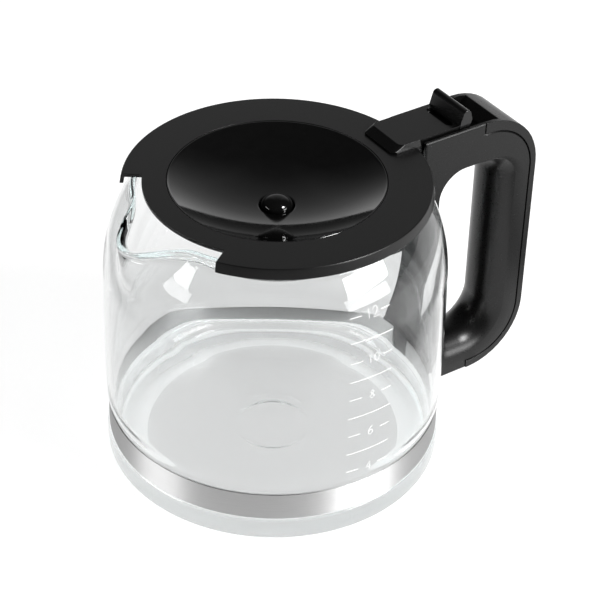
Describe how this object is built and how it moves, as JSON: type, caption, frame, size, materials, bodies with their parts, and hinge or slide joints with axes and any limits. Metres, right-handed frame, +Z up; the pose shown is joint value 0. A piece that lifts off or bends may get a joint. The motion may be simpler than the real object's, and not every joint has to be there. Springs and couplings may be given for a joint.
{
  "type": "glass coffee carafe",
  "caption": "Glass drip-coffee jug with a pouring lip, steel belly band, hollow black handle and a dished brew-through lid tipped open by a thumb lever.",
  "frame": {"origin": "centre of the flat base of the jug", "axes": "+Z up, +X towards the handle, so the pouring lip is at -X"},
  "size_m": [0.2106, 0.1518, 0.1482],
  "materials": {
    "glass": "clear blown borosilicate, polished",
    "steel": "brushed around the jug",
    "brass": "turned",
    "screw_steel": "zinc plated",
    "spring_steel": "drawn stainless wire and strip",
    "silicone": "soft silicone",
    "black_satin": "satin moulded polypropylene",
    "screw_black": "blackened steel",
    "black_matte": "fine spark-eroded texture",
    "black_gloss": "polished"
  },
  "bodies": {
    "jug": {"glass_jug": "glass", "base_band": "steel", "band_nut": "brass", "band_screw": "screw_steel", "rim_hook": "spring_steel", "hook_screw": "screw_steel", "handle_body": "black_satin", "handle_cover": "black_satin", "cover_screw": "screw_black", "hinge_pin": "screw_steel"},
    "lid": {"lid_rim": "black_matte", "lid_dish": "black_gloss", "lid_lever": "black_matte", "lever_screws": "screw_steel", "valve_cage": "black_matte", "valve_spring": "spring_steel"},
    "valve": {"drip_valve": "black_gloss", "valve_seal": "silicone"}
  },
  "joints": [
    {"name": "lid_hinge", "type": "hinge", "parent": "jug", "child": "lid", "pos_m": [0.08, 0, 0.1325], "axis": [0, 1, 0], "range_deg": [0, 62]},
    {"name": "valve_slide", "type": "slide", "parent": "lid", "child": "valve", "axis": [0, 0, -1], "range_m": [0, 0.004], "stiffness_N_per_m": 150, "springref_m": -0.004, "deforming": ["valve_spring"]}
  ]
}
